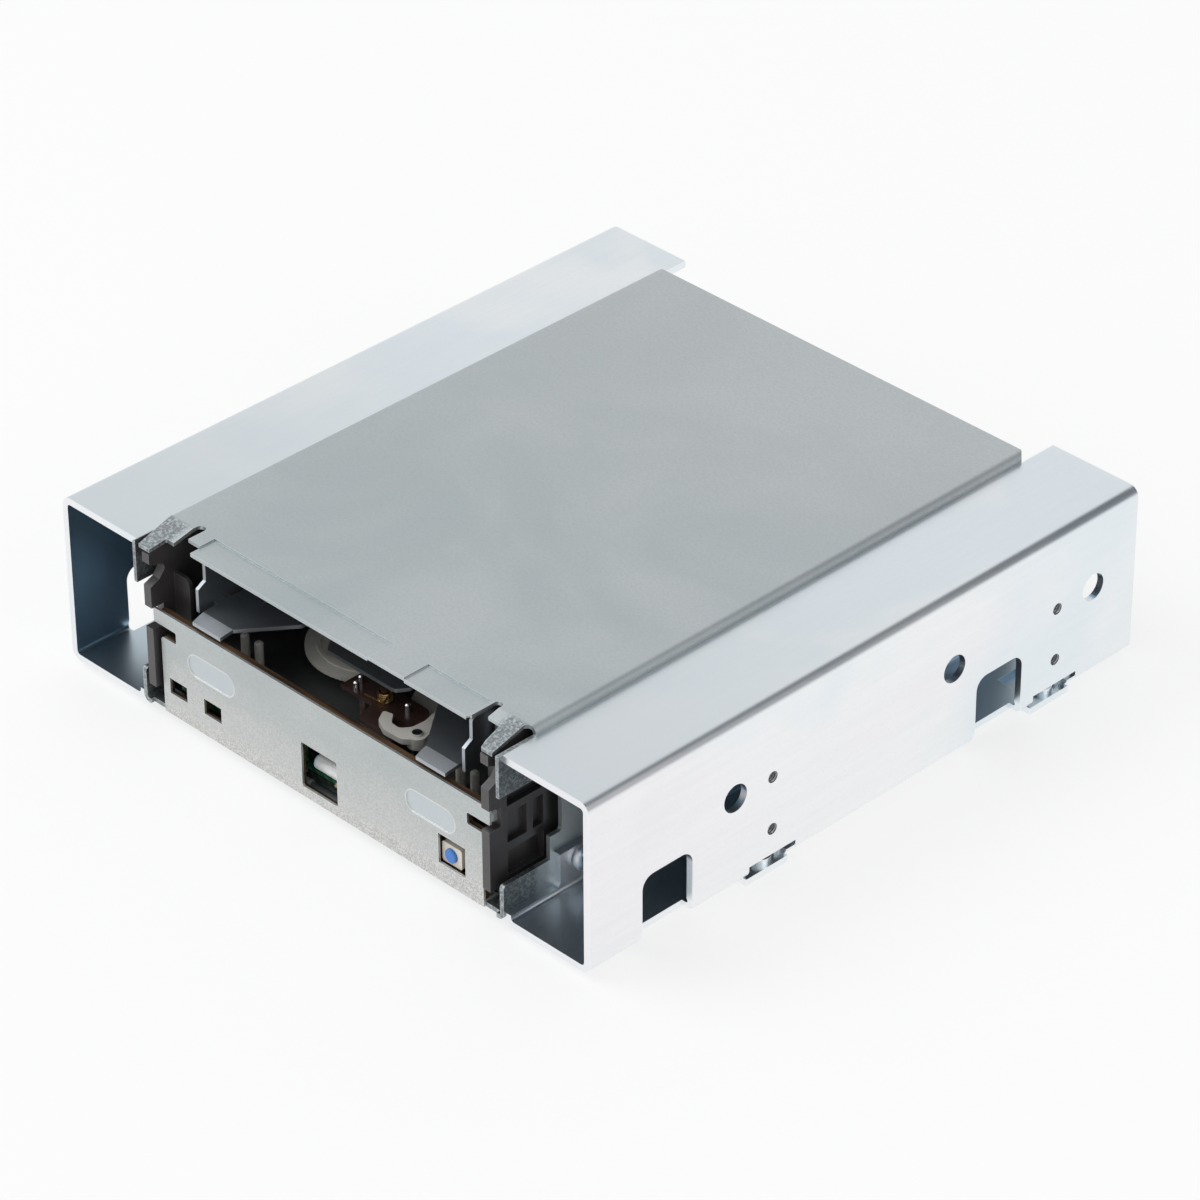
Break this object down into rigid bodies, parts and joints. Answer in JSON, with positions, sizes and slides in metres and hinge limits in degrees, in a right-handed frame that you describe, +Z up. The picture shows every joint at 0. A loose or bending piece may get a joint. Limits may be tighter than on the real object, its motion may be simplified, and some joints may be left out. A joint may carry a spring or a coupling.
{
  "type": "tape drive",
  "caption": "Half-height data tape drive without its bezel, held between zinc-plated channel brackets for a wider bay, with a moving cassette holder, reel tables and tilted head drum inside",
  "frame": {"origin": "middle of the rectangle that holds the whole drive, on the plane of the brackets' screw pads", "axes": "+X to the right seen from the front, +Y from the front towards the connectors, +Z up"},
  "size_m": [0.146, 0.1508, 0.0413],
  "materials": {
    "zinc_plated_steel": "bright zinc plate, faintly blue",
    "satin_steel": "soft satin grey sheet",
    "plate_steel": "matte grey sheet, finely speckled",
    "screw_steel": "plated screw",
    "black_plastic": "matte black moulding",
    "brown_laminate": "brown phenolic sheet",
    "circuit_board": "green solder mask",
    "holder_steel": "satin blue-grey sheet",
    "cast_metal": "matte die casting",
    "drum_metal": "turned and polished",
    "white_plastic": "off-white acetal",
    "chrome_pin": "polished pin",
    "brass": "plain brass",
    "rubber": "black rubber",
    "cream_plastic": "cream switch moulding",
    "blue_plastic": "blue button",
    "clear_plastic": "milky lens",
    "capacitor_sleeve": "pale sleeve",
    "motor_steel": "plated motor can",
    "brown_black_plastic": "dark brown moulding"
  },
  "bodies": {
    "chassis": {"left_adapter_bracket": "zinc_plated_steel", "right_adapter_bracket": "zinc_plated_steel", "bracket_screws": "screw_steel", "chassis_tray": "satin_steel", "top_cover": "satin_steel", "cover_screws": "screw_steel", "front_plate": "plate_steel", "front_backing": "brown_laminate", "plate_screws": "screw_steel", "front_circuit_board": "circuit_board", "eject_switch_body": "cream_plastic", "status_lights": "clear_plastic", "left_side_block": "black_plastic", "right_side_block": "black_plastic", "left_side_frame": "cast_metal", "right_side_frame": "cast_metal", "mechanism_deck": "cast_metal", "pivot_pins": "chrome_pin", "guide_posts": "chrome_pin", "front_bridge_plate": "brown_black_plastic", "sensor_pins": "chrome_pin", "stop_pegs": "white_plastic", "reel_motor": "motor_steel", "drum_base": "cast_metal", "lower_drum": "drum_metal", "capstan_housing": "brass", "lever_spring": "brass", "loading_motor": "motor_steel", "main_circuit_board": "circuit_board", "board_chips": "black_plastic", "board_capacitor": "capacitor_sleeve", "board_screws": "screw_steel", "data_connector": "black_plastic", "power_connector": "cream_plastic", "shock_mounts": "rubber", "mount_screws": "screw_steel"},
    "eject_button": {"eject_button": "blue_plastic"},
    "loading_gear": {"cam_gear": "white_plastic"},
    "worm": {"loading_worm": "brass"},
    "carriage": {"holder_carriage": "holder_steel"},
    "holder": {"cassette_holder": "holder_steel"},
    "left_guide": {"left_guide_slider": "black_plastic"},
    "left_roller": {"left_guide_roller": "chrome_pin"},
    "right_guide": {"right_guide_slider": "black_plastic"},
    "right_roller": {"right_guide_roller": "chrome_pin"},
    "pinch_lever": {"pinch_arm": "cast_metal"},
    "pinch_roll": {"pinch_roller": "rubber"},
    "supply_reel": {"supply_reel_table": "white_plastic"},
    "take_up_reel": {"take_up_reel_table": "white_plastic"},
    "reel_drive": {"reel_pulley": "brass"},
    "idler_lever": {"idler_arm": "brown_black_plastic"},
    "idler": {"idler_wheel": "white_plastic", "idler_tyre": "rubber"},
    "drum_rotor": {"upper_drum": "drum_metal", "drum_shaft": "chrome_pin", "drum_motor_rotor": "motor_steel"},
    "capstan": {"capstan_shaft": "chrome_pin", "capstan_flywheel": "brass"},
    "tape_tension_arm": {"tension_arm": "chrome_pin"},
    "swing_lever": {"front_lever": "white_plastic"}
  },
  "joints": [
    {"name": "button_press", "type": "slide", "parent": "chassis", "child": "eject_button", "axis": [0, 1, 0], "range_m": [0, 0.0003], "stiffness_N_per_m": 600},
    {"name": "gear_turn", "type": "hinge", "parent": "chassis", "child": "loading_gear", "pos_m": [-0.028, -0.00825, 0.017], "axis": [0, 0, -1], "range_deg": [0, 114.59]},
    {"name": "worm_turn", "type": "hinge", "parent": "chassis", "child": "worm", "pos_m": [-0.017, -0.00825, 0.0209], "axis": [0, 1, 0], "continuous": true},
    {"name": "carriage_slide", "type": "slide", "parent": "chassis", "child": "carriage", "axis": [0, 1, 0], "range_m": [0, 0.018]},
    {"name": "holder_drop", "type": "slide", "parent": "carriage", "child": "holder", "axis": [0, 0, -1], "range_m": [0, 0.004]},
    {"name": "left_guide_slide", "type": "slide", "parent": "chassis", "child": "left_guide", "axis": [-0.1644, 0.9864, 0], "range_m": [0, 0.01217]},
    {"name": "left_roller_spin", "type": "hinge", "parent": "left_guide", "child": "left_roller", "pos_m": [-0.009, -0.01565, 0.02], "axis": [0, 0, 1], "continuous": true},
    {"name": "right_guide_slide", "type": "slide", "parent": "chassis", "child": "right_guide", "axis": [0.2696, 0.963, 0], "range_m": [0, 0.01298]},
    {"name": "right_roller_spin", "type": "hinge", "parent": "right_guide", "child": "right_roller", "pos_m": [0.0164, -0.01565, 0.02], "axis": [0, 0, 1], "continuous": true},
    {"name": "pinch_swing", "type": "hinge", "parent": "chassis", "child": "pinch_lever", "pos_m": [0.034, -0.00625, 0.02], "axis": [0, 0, -1], "range_deg": [0, 21]},
    {"name": "pinch_roller_spin", "type": "hinge", "parent": "pinch_lever", "child": "pinch_roll", "pos_m": [0.0316, -0.01515, 0.025], "axis": [0, 0, 1], "continuous": true},
    {"name": "supply_spin", "type": "hinge", "parent": "chassis", "child": "supply_reel", "pos_m": [-0.015, -0.04625, 0.018], "axis": [0, 0, 1], "continuous": true},
    {"name": "take_up_spin", "type": "hinge", "parent": "chassis", "child": "take_up_reel", "pos_m": [0.015, -0.04625, 0.018], "axis": [0, 0, 1], "continuous": true},
    {"name": "reel_drive_spin", "type": "hinge", "parent": "chassis", "child": "reel_drive", "pos_m": [0, -0.03325, 0.017], "axis": [0, 0, 1], "continuous": true},
    {"name": "idler_swing", "type": "hinge", "parent": "chassis", "child": "idler_lever", "pos_m": [0, -0.03325, 0.017], "axis": [0, 0, 1], "range_deg": [-14, 14]},
    {"name": "idler_spin", "type": "hinge", "parent": "idler_lever", "child": "idler", "pos_m": [0, -0.0417, 0.0175], "axis": [0, 0, 1], "continuous": true},
    {"name": "drum_spin", "type": "hinge", "parent": "chassis", "child": "drum_rotor", "pos_m": [0.004, 0.00975, 0.026], "axis": [0, -0.0872, 0.9962], "continuous": true},
    {"name": "capstan_spin", "type": "hinge", "parent": "chassis", "child": "capstan", "pos_m": [0.024, -0.01225, 0.02], "axis": [0, 0, 1], "continuous": true},
    {"name": "tension_swing", "type": "hinge", "parent": "chassis", "child": "tape_tension_arm", "pos_m": [-0.024, -0.02425, 0.017], "axis": [0, 0, 1], "range_deg": [0, 6], "stiffness_Nm_per_rad": 0.002},
    {"name": "lever_swing", "type": "hinge", "parent": "chassis", "child": "swing_lever", "pos_m": [0.0184, -0.06565, 0.023], "axis": [0, 0, -1], "range_deg": [0, 8], "stiffness_Nm_per_rad": 0.002}
  ],
  "couplings": [
    {"joint": "worm_turn", "follows": "gear_turn", "ratio": 30},
    {"joint": "carriage_slide", "follows": "gear_turn", "m_per_rad": 0.009},
    {"joint": "holder_drop", "follows": "gear_turn", "m_per_rad": 0.002},
    {"joint": "left_guide_slide", "follows": "gear_turn", "m_per_rad": 0.0060797},
    {"joint": "right_guide_slide", "follows": "gear_turn", "m_per_rad": 0.0064871},
    {"joint": "pinch_swing", "follows": "gear_turn", "ratio": 0.18317},
    {"joint": "idler_spin", "follows": "reel_drive_spin", "ratio": -0.9091}
  ]
}
